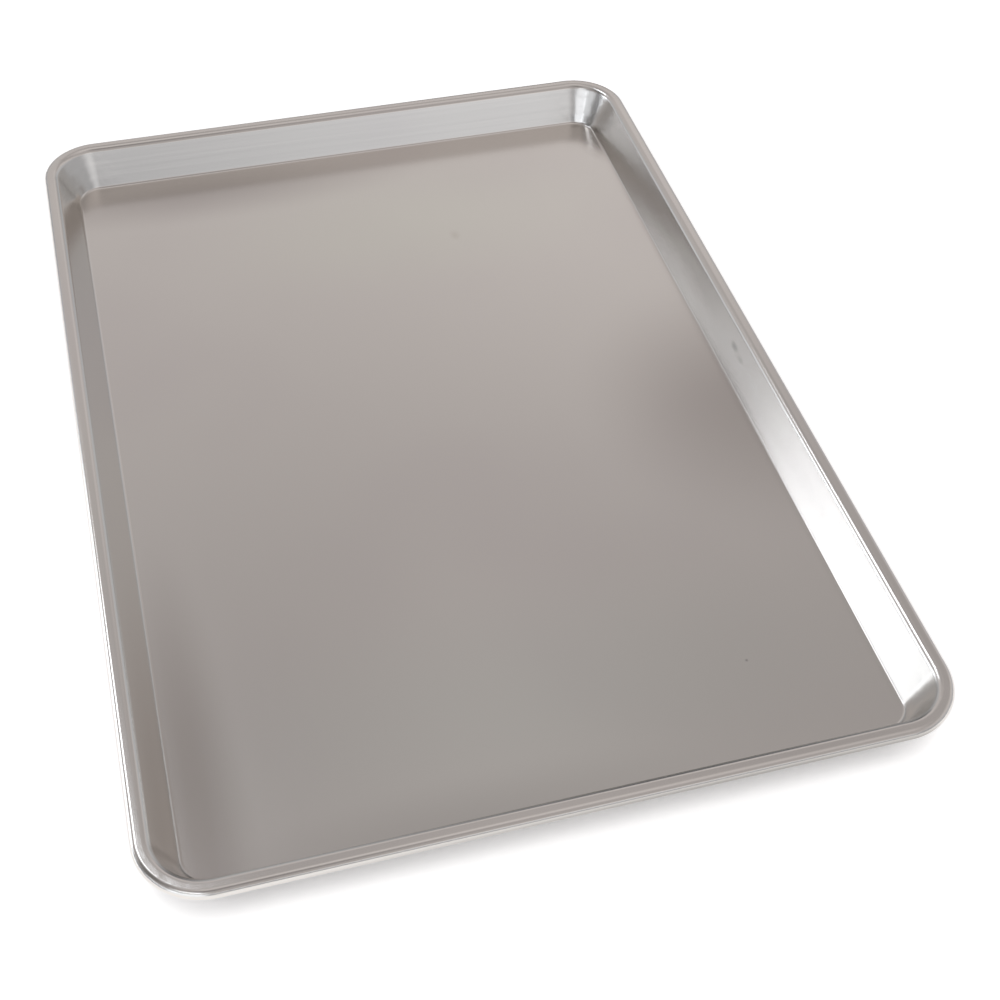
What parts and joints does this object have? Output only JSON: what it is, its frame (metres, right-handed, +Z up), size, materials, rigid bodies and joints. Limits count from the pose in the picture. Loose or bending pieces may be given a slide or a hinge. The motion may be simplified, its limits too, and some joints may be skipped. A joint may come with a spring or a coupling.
{
  "type": "jelly roll pan",
  "caption": "Shallow rectangular aluminium baking pan with flared walls, round corners and a rim rolled over a hidden stiffening wire.",
  "frame": {"origin": "centre of the base, on the surface that the pan stands on", "axes": "+X across the width, +Y along the length, +Z up out of the pan"},
  "size_m": [0.283, 0.41, 0.018],
  "materials": {
    "pan_aluminium": "satin, as drawn",
    "wire_steel": "galvanised"
  },
  "bodies": {
    "root": {"pan_sheet": "pan_aluminium", "rim_wire": "wire_steel"}
  },
  "joints": []
}
